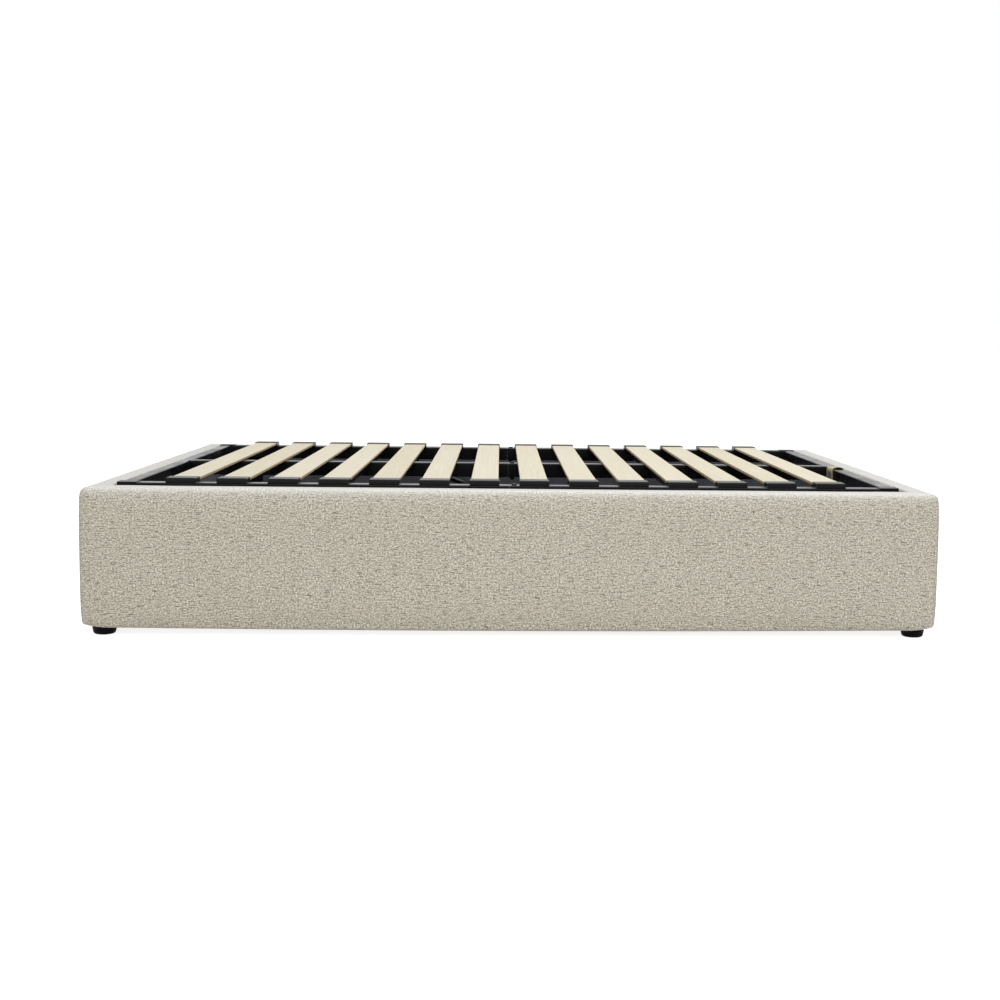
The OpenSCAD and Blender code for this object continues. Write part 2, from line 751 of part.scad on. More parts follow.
// Slotted brackets under the side rails, in which the rods' eyes run
cheek_low = rail_low - strut_top_z - top_eye_r - 4;
slot_r = rod_d / 2 + eye_play;
module slot_shape() {
    x0 = top_at[0] + slip_min[0];
    x1 = top_at[0] + slip_max[0];
    z0 = top_at[1] + slip_min[1] - slot_r;
    z1 = top_at[1] + slip_max[1] + slot_r;
    translate([x0 - slot_r, z0]) square([x1 - x0 + 2 * slot_r, z1 - z0]);
}

module strut_bracket(name) {
    x0 = top_at[0] + slip_min[0] - slot_r - 12;
    x1 = top_at[0] + slip_max[0] + slot_r + 12;
    color("black") on_side(name) difference() {
        union() {
            translate([x0, y_rail - cheek_out, rail_low - 3]) cube([x1 - x0, 2 * cheek_out, 3]);
            for (s = [-1, 1]) translate([x0, y_rail + s * (cheek_in + plate_t / 2) - plate_t / 2,
                cheek_low]) cube([x1 - x0, plate_t, rail_low - cheek_low]);
        }
        translate([0, y_rail + cheek_out + 1, 0]) rotate([90, 0, 0])
            linear_extrude(2 * cheek_out + 2) slot_shape();
    }
}

// Slats and their end caps
module slat(k) {
    half = y_frame - cap_wall - slat_play;
    color([0.93, 0.85, 0.70]) translate([slat_x(k), 0, slat_low + slat_t / 2])
        along_y(-half, half) rounded_rect(slat_w, slat_t, 2);
}

module end_cap() {
    pocket_w = slat_w + 2 * slat_play;
    difference() {
        union() {
            intersection() {
                translate([0, 0, cap_h / 2]) along_y(y_frame - cap_l, y_frame) {
                    rounded_rect(cap_w, cap_h, 2.5);
                    translate([-cap_w / 2, -cap_h / 2]) square([cap_w, cap_h / 2]);
                }
                along_x(-cap_w / 2, cap_w / 2) translate([y_frame - cap_l, 0]) {
                    square([cap_l - 4, cap_h]);
                    square([cap_l, cap_h - 4]);
                    translate([cap_l - 4, cap_h - 4]) circle(4);
                }
            }
            translate([0, y_rail, -peg_l]) cylinder(d = peg_d, h = peg_l + 1);
        }
        translate([-pocket_w / 2, y_frame - cap_l - 1, cap_wall])
            cube([pocket_w, cap_l + 1 - cap_wall, slat_t + slat_play]);
    }
}

module slat_caps(name) {
    color([0.1, 0.1, 0.1]) on_side(name) for (k = [1:slat_count])
        translate([slat_x(k), 0, rail_top]) end_cap();
}

// Webbing looped round the foot end rail, with a hand loop below it
module pull_strap() {
    w = end_tube_w + 2 * seat_gap;
    h = tube + seat_gap + strap_drop;
    mid_z = rail_top + seat_gap - h / 2;
    color([0.9, 0.86, 0.76]) translate([x_end_rail + frame_shift, -strap_y, mid_z])
        along_y(-strap_w / 2, strap_w / 2) difference() {
            union() {
                translate([0, strap_t + 6]) rounded_rect(w + 2 * strap_t, h - 12, 4);
                translate([0, -h / 2 + w / 2]) circle(w / 2 + strap_t);
                translate([-w / 2 - strap_t, -h / 2 + w / 2]) square([w + 2 * strap_t, h / 2]);
            }
            translate([-w / 2, -h / 2 + w / 2]) square([w, h - w / 2]);
            translate([0, -h / 2 + w / 2]) circle(w / 2);
        }
}

// Gas struts, drawn along +X from the lower pivot and then turned up to the upper one
module on_strut() {
    translate([low_at[0], y_rail, low_at[1]]) rotate([0, -strut_deg, 0]) children();
}

module strut_cylinder(name) {
    color([0.08, 0.08, 0.09]) on_side(name) on_strut() difference() {
        union() {
            cyl_y(eye_r, -eye_w / 2, eye_w / 2);
            cyl_x(5.5, eye_r - 3, cyl_start + 1);
            cyl_x(cyl_d / 2, cyl_start, cyl_end);
        }
        cyl_y(5 + play, -eye_w, eye_w);
        cyl_x(cyl_d / 2 - cyl_wall, cyl_start + cap_len, cyl_end - gland_len);
        cyl_x(rod_d / 2 + play, cyl_start + cap_len, cyl_end + 1);
    }
}

module strut_rod(name) {
    color("silver") on_side(name) on_strut() {
        cyl_x(rod_d / 2, piston_at, strut_l - top_eye_r + 2);
        cyl_x(cyl_d / 2 - cyl_wall - play, piston_at, piston_at + piston_len);
        translate([strut_l, 0, 0]) {
            cyl_y(top_eye_r, -eye_w / 2, eye_w / 2);
            cyl_y(rod_d / 2, -cheek_out - 3, cheek_out + 3);
            for (s = [-1, 1]) translate([0, s * (cheek_out + 1.5), 0])
                cyl_y(rod_d / 2 + 3, -1, 1);
        }
    }
}

for (s = SIDES) {
    side_board(s);
    side_cover(s);
    floor_ledger(s);
    hinge_plate(s);
    strut_plate(s);
    strut_bracket(s);
    slat_caps(s);
    strut_cylinder(s);
    strut_rod(s);
    for (h = HALVES)
        side_rail(s, h);
}
for (e = HALVES) {
    end_board(e);
    end_cover(e);
    end_rail(e);
    centre_rail(e);
}
for (k = [1:slat_count])
    slat(k);
wall_lining();
corner_brackets();
panel_bolts();
corner_feet();
centre_feet();
floor_beam();
floor_panel(0);  // floor_panel_head
floor_panel(1);  // floor_panel_middle
floor_panel(2);  // floor_panel_foot
rest_brackets();
hinge_pins();
cross_rails();
splice_sleeves();
splice_bolts();
rail_end_plugs();
pull_strap();
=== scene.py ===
# %% [markdown]
# # A lift-up storage bed base
# The real object is a low upholstered box with a storage floor inside. A black steel frame with
# birch slats closes it, hinged near the head end and raised by two gas struts. The rigid pieces
# come ready-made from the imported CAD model, so this lesson is about the looks: the padded
# covers, the webbing, the welds and stitches, and one material for each finish. All lengths are
# in metres, in the same frame as the CAD model: X from head (-) to foot (+), Z up from the floor.

# %% Load the fixed frame
import math

import bpy
import numpy as np
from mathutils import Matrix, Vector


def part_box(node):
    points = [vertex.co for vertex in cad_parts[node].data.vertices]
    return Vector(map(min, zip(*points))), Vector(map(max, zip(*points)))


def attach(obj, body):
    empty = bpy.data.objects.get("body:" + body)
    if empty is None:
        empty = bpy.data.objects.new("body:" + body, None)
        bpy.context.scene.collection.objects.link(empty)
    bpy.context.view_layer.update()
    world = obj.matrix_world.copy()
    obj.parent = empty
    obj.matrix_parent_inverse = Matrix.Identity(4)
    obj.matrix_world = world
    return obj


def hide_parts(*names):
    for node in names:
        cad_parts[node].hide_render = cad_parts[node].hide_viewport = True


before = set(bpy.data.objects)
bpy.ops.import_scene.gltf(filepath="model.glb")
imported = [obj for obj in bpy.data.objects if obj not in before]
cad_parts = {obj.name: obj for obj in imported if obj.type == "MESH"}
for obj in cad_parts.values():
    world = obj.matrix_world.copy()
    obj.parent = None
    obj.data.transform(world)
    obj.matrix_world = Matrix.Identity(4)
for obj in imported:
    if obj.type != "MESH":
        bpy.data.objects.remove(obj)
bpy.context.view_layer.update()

MM = 0.001

# %% [markdown]
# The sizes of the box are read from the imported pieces, so that the covers fit them. Of the rest,
# RIM_R and the hang of the bottom edge were fitted to the photograph: DROOP is how far the edge
# hangs, and SAG is how much lower at the middle. The others are the CAD model's own values:
# HEM is the folded cloth's thickness, HEM_IN and HEM_UNDER are how far it reaches down inside
# and under the board, SWELL is how far the face bulges, and CLEAR is the gap to the board.

# %% Sizes of the upholstered box
low_front, high_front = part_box("cover_front")
_, high_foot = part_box("cover_foot")
board_low, board_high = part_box("side_board_front")
HALF_L = high_foot.x
HALF_W = -low_front.y
RIM_H = high_front.z
PAD = HALF_W + board_low.y
BOARD = board_high.y - board_low.y
HEM = 4 * MM
RIM_W = PAD + BOARD + HEM
HEM_IN = 26 * MM
HEM_UNDER = 16 * MM
FOOT_H = board_low.z - HEM
CORNER_R = 22 * MM
RIM_R = 20 * MM
BOTTOM_R = 9 * MM
SWELL = 3 * MM
SAG = 5 * MM
DROOP = 3 * MM
CLEAR = 0.3 * MM
print("half length", HALF_L, "half width", HALF_W, "rim", RIM_H, "foot", FOOT_H, "pad", PAD)

# %% [markdown]
# ## Camera
# The photograph looks down the width of the bed from about hip height, nearly level. The lens,
# place and small turns were worked out from the corners of the rim and the frame. The picture
# is a crop, so its optical centre lies to the right of its middle, which the camera's shift
# repeats. A shift of 0.1 fits the corners best. Here it is 0.075, with the rest fitted anew, so
# that views from other sides are less off centre; this moves a corner by 1.4 pixels at most.

# %% The camera
FOCAL = 1488 / 1000
CENTRE_X = 575 / 1000
SENSOR = 36
YAW, PITCH, ROLL = 0.0508, 0.1035, -0.0136
CAMERA_AT = (-0.037, -4.3005, 0.7007)


def camera_axes(yaw, pitch, roll):
    """Right, up and back directions: turned by yaw from +Y towards +X, dipped by pitch, and
    rolled about the line of sight."""
    sight = np.array([math.sin(yaw) * math.cos(pitch), math.cos(yaw) * math.cos(pitch),
                      -math.sin(pitch)])
    right = np.array([math.cos(yaw), -math.sin(yaw), 0.0])
    down = np.cross(sight, right)
    turned_right = right * math.cos(roll) + down * math.sin(roll)
    turned_down = -right * math.sin(roll) + down * math.cos(roll)
    return turned_right, -turned_down, -sight


camera = bpy.data.objects.new("camera", bpy.data.cameras.new("camera"))
bpy.context.scene.collection.objects.link(camera)
camera.data.sensor_fit = "HORIZONTAL"
camera.data.sensor_width = SENSOR
camera.data.lens = SENSOR * FOCAL
camera.data.shift_x = 0.5 - CENTRE_X
camera.data.clip_end = 100
place = np.eye(4)
place[:3, :3] = np.stack(camera_axes(YAW, PITCH, ROLL), 1)
place[:3, 3] = CAMERA_AT
camera.matrix_world = place.T.tolist()
bpy.context.scene.camera = camera
print("lens", camera.data.lens, "mm")

# %% [markdown]
# ## Light and floor
# A packshot like this is made on a white sweep under large soft boxes: one above, which makes
# the rim brighter than the sides, and one behind the camera. The world is white for the camera
# and for reflections, so that steel and lacquer show the studio's white walls.

# %% One helper for colours and one for nodes
def linear(hex_colour):
    """sRGB hex to linear: below 0.04045 divided by 12.92, above it the 2.4 power curve."""
    c = np.array([int(hex_colour[i:i + 2], 16) for i in (1, 3, 5)]) / 255
    rgb = np.where(c <= 0.04045, c / 12.92, ((c + 0.055) / 1.055) ** 2.4)
    return (*rgb.tolist(), 1.0)


def add(tree, kind, inputs=None, **settings):
    """Adds one node. A socket among the inputs is linked, and any other value is set."""
    made = tree.nodes.new(kind)
    for key, value in settings.items():
        setattr(made, key, value)
    for key, value in (inputs or {}).items():
        if isinstance(value, bpy.types.NodeSocket):
            tree.links.new(value, made.inputs[key])
        else:
            made.inputs[key].default_value = value
    return made


# %% World, floor and soft boxes
scene = bpy.context.scene
scene.view_settings.view_transform = "Standard"
world = bpy.data.worlds.new("studio")
scene.world = world
world.use_nodes = True
sky = world.node_tree
sky.nodes.clear()
rays = add(sky, "ShaderNodeLightPath")
seen = add(sky, "ShaderNodeMath", {0: rays.outputs["Is Camera Ray"],
                                   1: rays.outputs["Is Glossy Ray"]}, operation="MAXIMUM")
seen = add(sky, "ShaderNodeMath", {0: seen.outputs[0],
                                   1: rays.outputs["Is Transmission Ray"]}, operation="MAXIMUM")
AMBIENT = 0.5
strength = add(sky, "ShaderNodeMapRange", {0: seen.outputs[0], 3: AMBIENT, 4: 1.0})
backdrop = add(sky, "ShaderNodeBackground", {"Color": (1, 1, 1, 1),
                                             "Strength": strength.outputs[0]})
add(sky, "ShaderNodeOutputWorld", {"Surface": backdrop.outputs[0]})


def soft_box(name, at, towards, size, watts, tint):
    """A rectangular studio light at one point that faces another."""
    light = bpy.data.lights.new(name, "AREA")
    light.shape = "RECTANGLE"
    light.size, light.size_y = size
    light.energy = watts
    light.color = tint
    made = bpy.data.objects.new(name, light)
    sight = np.array(towards, float) - np.array(at, float)
    steep = abs(sight[2]) >= 0.99 * np.linalg.norm(sight)
    aside = (1, 0, 0) if steep else np.cross(sight, (0, 0, 1))
    axes = np.eye(4)
    axes[:3, 2] = -sight / np.linalg.norm(sight)
    axes[:3, 0] = aside / np.linalg.norm(aside)
    axes[:3, 1] = np.cross(axes[:3, 2], axes[:3, 0])
    axes[:3, 3] = at
    made.matrix_world = axes.T.tolist()
    made.visible_camera = False
    scene.collection.objects.link(made)


soft_box("top_soft_box", (0.7, -0.2, 3.4), (0.1, 0.0, 0.0), (4.5, 4.0), 132, (0.9, 0.94, 1.0))
soft_box("front_soft_box", (-0.6, -5.5, 1.6), (0.0, 0.0, 0.3), (5.0, 3.0), 45, (1.0, 0.94, 0.83))

floor_mesh = bpy.data.meshes.new("studio_floor")
FLOOR = 30.0
floor_mesh.from_pydata([(-FLOOR, -FLOOR, 0), (FLOOR, -FLOOR, 0), (FLOOR, FLOOR, 0),
                        (-FLOOR, FLOOR, 0)], [], [(0, 1, 2, 3)])
studio_floor = bpy.data.objects.new("studio_floor", floor_mesh)
scene.collection.objects.link(studio_floor)
paper = bpy.data.materials.new("white_paper_sweep")
paper.use_nodes = True
paper_tree = paper.node_tree
paper_tree.nodes.clear()
paper_rays = add(paper_tree, "ShaderNodeLightPath")
FLOOR_GLOW = 0.85
glow = add(paper_tree, "ShaderNodeMath", {0: paper_rays.outputs["Is Camera Ray"],
                                          1: paper_rays.outputs["Is Glossy Ray"]},
           operation="MAXIMUM")
glow = add(paper_tree, "ShaderNodeMath", {0: glow.outputs[0], 1: FLOOR_GLOW},
           operation="MULTIPLY")
matt = add(paper_tree, "ShaderNodeBsdfDiffuse", {"Color": linear("#E9E9E9")})
lit = add(paper_tree, "ShaderNodeEmission", {"Strength": glow.outputs[0]})
both = add(paper_tree, "ShaderNodeAddShader", {0: matt.outputs[0], 1: lit.outputs[0]})
add(paper_tree, "ShaderNodeOutputMaterial", {"Surface": both.outputs[0]})
floor_mesh.materials.append(paper)

# %% [markdown]
# ## Materials
# Each finish gets its own material, named for what it is and how its surface was made. Every
# pattern is worked out from a size in millimetres: a noise of scale 1000 / s has blots of about
# s millimetres, because the coordinates are in metres.

# %% What all materials share
def material(name, colour, roughness, **sockets):
    """A Principled material with its constants set on the shader's own sockets."""
    made = bpy.data.materials.new(name)
    made.use_nodes = True
    shader = made.node_tree.nodes["Principled BSDF"]
    shader.inputs["Base Color"].default_value = linear(colour)
    shader.inputs["Roughness"].default_value = roughness
    for key, value in sockets.items():
        shader.inputs[key.replace("_", " ")].default_value = value
    return made, made.node_tree, shader


def per_mm(size):
    """Texture scale for blots of this size in millimetres."""
    return 1000 / size


def stretched(tree, vector, x, y, z):
    """Coordinates divided by a size in millimetres along each axis."""
    return add(tree, "ShaderNodeMapping", {"Vector": vector,
                                           "Scale": (per_mm(x), per_mm(y), per_mm(z))}).outputs[0]


def noise(tree, vector, scale=1.0, detail=2.0, roughness=0.5):
    """Smooth noise from 0 to 1 at these coordinates."""
    return add(tree, "ShaderNodeTexNoise", {"Vector": vector, "Scale": scale, "Detail": detail,
                                            "Roughness": roughness}).outputs["Fac"]


def between(tree, value, low, high, out_low=0.0, out_high=1.0):
    """Value carried from low..high to out_low..out_high, and held there outside."""
    return add(tree, "ShaderNodeMapRange", {0: value, 1: low, 2: high, 3: out_low,
                                            4: out_high}).outputs[0]


def blended(tree, share, first, second, blend_type="MIX"):
    """Two colours mixed, each a socket or a hex value."""
    first, second = (linear(c) if isinstance(c, str) else c for c in (first, second))
    return add(tree, "ShaderNodeMix", {0: share, 6: first, 7: second}, data_type="RGBA",
               blend_type=blend_type).outputs[2]


def calculated(tree, operation, first, second=0.0):
    """One step of arithmetic on two values."""
    return add(tree, "ShaderNodeMath", {0: first, 1: second}, operation=operation).outputs[0]


def bumped(tree, shader, height, distance, strength=1.0):
    """Turns a height from 0 to 1 into relief of this many metres."""
    relief = add(tree, "ShaderNodeBump", {"Height": height, "Distance": distance,
                                          "Strength": strength})
    tree.links.new(relief.outputs[0], shader.inputs["Normal"])


def coloured(tree, shader, colour, roughness=None):
    """Links a colour, and a roughness if one is given, to the shader."""
    tree.links.new(colour, shader.inputs["Base Color"])
    if roughness is not None:
        tree.links.new(roughness, shader.inputs["Roughness"])


def place_of(tree, output="Object"):
    """The coordinates that a pattern is laid on."""
    return add(tree, "ShaderNodeTexCoord").outputs[output]


def part_of(tree, vector, axis):
    """One number of a vector: 0, 1 or 2 for X, Y or Z."""
    return add(tree, "ShaderNodeSeparateXYZ", {0: vector}).outputs[axis]


# %% [markdown]
# The covers are woven upholstery fabric in greige, with slub yarn: thick places in the weft that
# read as short dashes, over a fine plain weave. The pattern follows the cover's own UV map,
# which is in metres of cloth, so that it runs level along the panels and turns over the rim.
# On the rim the colour is painted paler and more neutral where the surface faces up: a painted
# sheen for the top light seen at a grazing angle.
# The relief is also weaker there, by how far the surface faces up.

# %% Slub-weave upholstery fabric
fabric, tree, shader = material("woven_slub_upholstery", "#BDB7AA", 0.95,
                                Sheen_Weight=1.0, Sheen_Roughness=0.25)
cloth = add(tree, "ShaderNodeUVMap", uv_map="UVMap").outputs[0]
crumb = noise(tree, stretched(tree, cloth, 4.0, 3.5, 1), detail=1.5, roughness=0.6)
slub = noise(tree, stretched(tree, cloth, 20, 2.8, 1), detail=2.0)
mottle = noise(tree, cloth, per_mm(70), detail=3.0)
thick = between(tree, crumb, 0.32, 0.68)
yarn = blended(tree, thick, "#8E8570", "#F1EBDD")
yarn = blended(tree, between(tree, slub, 0.45, 0.3, 0.0, 0.8), yarn, "#625A49")
yarn = blended(tree, between(tree, mottle, 0.3, 0.7, 0.0, 0.1), yarn, "#A19A8B")
# Painted sheen: where the surface faces up, the colour is mixed towards pale neutral grey for the
# top light's grazing sheen on the rim.
upward = between(tree, part_of(tree, place_of(tree, "Normal"), 2), 0.1, 0.95)
coloured(tree, shader, blended(tree, calculated(tree, "MULTIPLY", upward, 0.45), yarn, "#E3E2DF"))
raised = calculated(tree, "ADD", calculated(tree, "MULTIPLY", crumb, 0.7),
                    calculated(tree, "MULTIPLY", slub, 0.5))
raised = calculated(tree, "MULTIPLY", raised, between(tree, upward, 0.0, 1.0, 1.0, 0.4))
bumped(tree, shader, raised, 0.9 * MM)

# %% [markdown]
# The inner walls are lined with grey spunbond, a felt of fused fibres, and the storage floor is
# fibreboard faced with a charcoal film. The boards are chipboard, which shows only where the
# lining ends.

# %% Lining, floor board and chipboard
lining, tree, shader = material("spunbond_lining", "#85868F", 0.95)
at = place_of(tree)
fibres = noise(tree, at, per_mm(3), detail=4.0, roughness=0.7)
coloured(tree, shader, blended(tree, between(tree, fibres, 0.35, 0.65), "#7A7B84", "#92939D"))
bumped(tree, shader, fibres, 0.3 * MM)

floor_film, tree, shader = material("charcoal_faced_fibreboard", "#26272A", 0.6)
at = place_of(tree)
flecks = noise(tree, at, per_mm(2), detail=3.0, roughness=0.8)
clouds = noise(tree, at, per_mm(120), detail=2.0)
film = blended(tree, between(tree, flecks, 0.4, 0.65), "#202124", "#303135")
coloured(tree, shader, blended(tree, between(tree, clouds, 0.3, 0.7, 0.0, 0.4), film, "#2B2C30"),
         between(tree, flecks, 0.3, 0.7, 0.5, 0.68))
bumped(tree, shader, flecks, 0.08 * MM)

chipboard, tree, shader = material("pressed_chipboard", "#B99B6E", 0.85)
at = place_of(tree)
chips = add(tree, "ShaderNodeTexVoronoi", {"Vector": at, "Scale": per_mm(3.5)}).outputs["Color"]
tone = add(tree, "ShaderNodeSeparateColor", {0: chips}).outputs[0]
board_tone = blended(tree, tone, "#9C7E52", "#CDB386")
coloured(tree, shader, board_tone)
bumped(tree, shader, tone, 0.2 * MM)

# %% [markdown]
# The lift frame is welded square tube, powder-coated satin black. The powder flows as it melts
# and leaves a faint orange peel of about 1.8 mm. Seen flat along its top, it mirrors the white
# studio, which is why the tops of the rails look grey.

# %% Powder-coated steel
def powder_coat(name, colour, lighter, roughness, gloss):
    """Baked powder: orange-peel relief, and patches that handling made lighter and duller."""
    made, tree, shader = material(name, colour, roughness, Specular_IOR_Level=gloss)
    at = place_of(tree)
    peel = noise(tree, at, per_mm(1.8), detail=1.0)
    wear = noise(tree, at, per_mm(90), detail=4.0, roughness=0.6)
    worn = blended(tree, between(tree, wear, 0.45, 0.75, 0.0, 0.5), colour, lighter)
    coloured(tree, shader, worn,
             between(tree, wear, 0.3, 0.7, roughness - 0.05, roughness + 0.1))
    bumped(tree, shader, peel, 0.01 * MM)
    return made


tube_coat = powder_coat("satin_black_powder_coat", "#0A0A0B", "#121214", 0.24, 0.22)
plate_coat = powder_coat("matt_black_powder_coat", "#0E0E0F", "#171719", 0.45, 0.25)

# %% [markdown]
# Corner angles, hinge pins and the joining sleeves are zinc plated, with the faint blue and
# spangled look of a passivated coat. The bolts are blackened with oxide and oil.

# %% Zinc plate, black oxide and chrome
zinc, tree, shader = material("passivated_zinc_plate", "#B9BDC4", 0.38, Metallic=1.0)
at = place_of(tree)
spangle = add(tree, "ShaderNodeTexVoronoi", {"Vector": at, "Scale": per_mm(6)}).outputs["Color"]
flake = add(tree, "ShaderNodeSeparateColor", {0: spangle}).outputs[0]
coloured(tree, shader, blended(tree, flake, "#A9AEB8", "#C6C9CC"),
         between(tree, flake, 0.0, 1.0, 0.3, 0.46))

oxide, tree, shader = material("black_oxide_steel", "#26272A", 0.36, Metallic=1.0)
at = place_of(tree)
rub = noise(tree, at, per_mm(4), detail=3.0)
coloured(tree, shader, blended(tree, between(tree, rub, 0.5, 0.75), "#222326", "#4A4B4E"),
         between(tree, rub, 0.3, 0.7, 0.3, 0.45))

chrome, tree, shader = material("hard_chrome_rod", "#D8DADD", 0.12, Metallic=1.0)
at = place_of(tree)
smear = noise(tree, at, per_mm(15), detail=3.0)
coloured(tree, shader, blended(tree, smear, "#CFD2D6", "#DDDEE0"),
         between(tree, smear, 0.35, 0.7, 0.08, 0.2))

cylinder_paint, tree, shader = material("gloss_black_strut_paint", "#0E0E10", 0.22)
at = place_of(tree)
dust = noise(tree, at, per_mm(10), detail=4.0)
dusty = blended(tree, between(tree, dust, 0.5, 0.8, 0.0, 0.5), "#0E0E10", "#1B1B1E")
coloured(tree, shader, dusty, between(tree, dust, 0.3, 0.7, 0.16, 0.34))
bumped(tree, shader, noise(tree, at, per_mm(1.2), detail=1.0), 0.02 * MM)

# %% [markdown]
# Slat holders and tube plugs are injection-moulded polypropylene with a fine spark-eroded
# grain. The feet are the same plastic with a coarser one.

# %% Moulded plastics
def moulded(name, colour, lighter, roughness, grit, gloss):
    """Moulded plastic: eroded grain of this many millimetres and faint flow clouds."""
    made, tree, shader = material(name, colour, roughness, Specular_IOR_Level=gloss)
    at = place_of(tree)
    grain = noise(tree, at, per_mm(grit), detail=2.0)
    flow = noise(tree, at, per_mm(35), detail=2.0)
    coloured(tree, shader, blended(tree, between(tree, flow, 0.35, 0.7), colour, lighter),
             between(tree, grain, 0.3, 0.7, roughness - 0.06, roughness + 0.08))
    bumped(tree, shader, grain, 0.012 * MM)
    return made


holder_plastic = moulded("moulded_polypropylene", "#060607", "#0C0C0D", 0.3, 0.9, 0.15)
foot_plastic = moulded("grained_foot_plastic", "#060606", "#0B0B0C", 0.5, 1.6, 0.05)

# %% [markdown]
# The slats are rotary-cut birch plywood, pale and lightly lacquered. The grain runs along the
# slat, which is Y here, as long thin streaks. Each slat comes from another sheet, so a number
# drawn from its place along the bed shifts its tone and its streaks. Its long edges show plies.

# %% Birch plywood
slat_low_corner, slat_high_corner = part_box("slat_01")
next_low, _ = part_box("slat_02")
SLAT_PITCH = next_low.x - slat_low_corner.x
SLAT_T = slat_high_corner.z - slat_low_corner.z
PLIES = 5
birch, tree, shader = material("lacquered_birch_plywood", "#BCB298", 0.6,
                               Specular_IOR_Level=0.2)
at = place_of(tree)
first_gap = slat_low_corner.x - (SLAT_PITCH - (slat_high_corner.x - slat_low_corner.x)) / 2
number = calculated(tree, "FLOOR", calculated(
    tree, "DIVIDE", calculated(tree, "SUBTRACT", part_of(tree, at, 0), first_gap), SLAT_PITCH))
draw = add(tree, "ShaderNodeTexWhiteNoise", {"W": number}, noise_dimensions="1D")
shifted = add(tree, "ShaderNodeVectorMath", {0: at, 1: draw.outputs["Color"]}, operation="ADD")
streak = noise(tree, stretched(tree, shifted.outputs[0], 3.2, 260, 3), detail=4.0, roughness=0.6)
figure = noise(tree, stretched(tree, shifted.outputs[0], 28, 420, 30), detail=3.0)
pores = noise(tree, stretched(tree, shifted.outputs[0], 0.9, 22, 1), detail=2.0)
wood = blended(tree, between(tree, streak, 0.35, 0.7), "#CEC4AB", "#C0B598")
wood = blended(tree, between(tree, figure, 0.4, 0.75, 0.0, 0.6), wood, "#C3B99C")
wood = blended(tree, between(tree, pores, 0.6, 0.72, 0.0, 0.35), wood, "#8E8062")
wood = blended(tree, between(tree, draw.outputs["Value"], 0.0, 1.0, 0.0, 0.4), wood, "#D5CCBA")
ply = calculated(tree, "FRACT", calculated(
    tree, "MULTIPLY", calculated(tree, "SUBTRACT", part_of(tree, at, 2), slat_low_corner.z),
    PLIES / SLAT_T))
dark_ply = between(tree, ply, 0.35, 0.45)
facing = part_of(tree, place_of(tree, "Normal"), 2)
on_edge = between(tree, calculated(tree, "ABSOLUTE", facing), 0.7, 0.5)
wood = blended(tree, calculated(tree, "MULTIPLY", on_edge, dark_ply), wood, "#B79A6A")
coloured(tree, shader, wood, between(tree, streak, 0.3, 0.7, 0.42, 0.58))
bumped(tree, shader, streak, 0.06 * MM)
print("slat pitch", SLAT_PITCH, "thickness", SLAT_T)

# %% [markdown]
# The pull strap is undyed polyester webbing. Its weft makes ribs across the band, about one
# every 1.8 mm, and its edges are bound tighter. The middle of the part that hangs down is
# darkened with painted shade, for the shadow it hangs in inside the box.

# %% Woven webbing
webbing, tree, shader = material("woven_polyester_webbing", "#E4DAB9", 0.75,
                                 Sheen_Weight=0.15, Sheen_Roughness=0.4)
band = add(tree, "ShaderNodeUVMap", uv_map="UVMap").outputs[0]
rib, chevron = (calculated(tree, "SINE", calculated(tree, "MULTIPLY", part_of(tree, band, axis),
                                                    2 * math.pi * per_mm(pitch)))
                for axis, pitch in ((0, 1.8), (1, 3.2)))
woven = calculated(tree, "ADD", between(tree, rib, -1, 1, 0, 0.7),
                   between(tree, chevron, -1, 1, 0, 0.3))
fuzz = noise(tree, band, per_mm(2.5), detail=3.0)
cream = blended(tree, calculated(tree, "MULTIPLY", woven, fuzz), "#A99C70", "#DDD3AE")
strap_low, strap_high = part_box("pull_strap")
STRAP_W = strap_high.y - strap_low.y
spot = place_of(tree)
off_middle = calculated(tree, "ABSOLUTE", calculated(
    tree, "SUBTRACT", part_of(tree, spot, 1), (strap_low.y + strap_high.y) / 2))
# Painted shade: the middle of the hanging part is darkened towards dark olive, for the shadow it
# hangs in inside the box.
painted_hang_shade = calculated(
    tree, "MULTIPLY", between(tree, off_middle, 0.46 * STRAP_W, 0.3 * STRAP_W),
    between(tree, part_of(tree, spot, 2), strap_high.z - 8 * MM, strap_high.z - 14 * MM,
            0.0, 0.95))
coloured(tree, shader, blended(tree, painted_hang_shade, cream, "#3A3219"))
bumped(tree, shader, woven, 0.35 * MM)

thread, tree, shader = material("bonded_polyester_thread", "#D8CCA4", 0.6)
at = place_of(tree)
twist = noise(tree, at, per_mm(0.8), detail=1.0)
coloured(tree, shader, blended(tree, twist, "#C9BC92", "#E6DCBB"))
bumped(tree, shader, twist, 0.1 * MM)

# %% [markdown]
# The CAD pieces whose shape is right stay, and only take their finish here. Each comes in with
# a plain material that carries the name of its slot in the record.

# %% Finishes for the CAD pieces
FINISHES = {
    "cover_fabric": fabric, "board_wood": chipboard, "grey_lining": lining,
    "floor_board": floor_film, "foot_plastic": foot_plastic, "frame_steel": tube_coat,
    "plate_steel": plate_coat, "zinc_steel": zinc, "black_bolts": oxide,
    "cap_plastic": holder_plastic, "slat_ply": birch, "webbing": webbing,
    "strut_paint": cylinder_paint, "rod_chrome": chrome,
}
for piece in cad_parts.values():
    for held in piece.material_slots:
        held.material = FINISHES[held.material.name]
print(len(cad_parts), "CAD pieces finished with", len(FINISHES), "materials")

# %% [markdown]
# ## Surfaces on a grid
# Every new piece is a grid of points: one way along the piece, the other way round its section.
# Where the section is a closed loop and the two ends are filled, the piece is a closed shell.
# Its faces are turned outwards by the sign of the volume that they enclose.

# %% From grids to meshes
def enclosed(points, faces):
    """Signed volume of a closed shell of quads: a third of the sum of each face's area vector
    times its place."""
    a, b, c, d = (points[faces[:, k]] for k in range(4))
    area = np.cross(c - a, d - b) / 2
    return float((area * (a + b + c + d) / 4).sum() / 3)


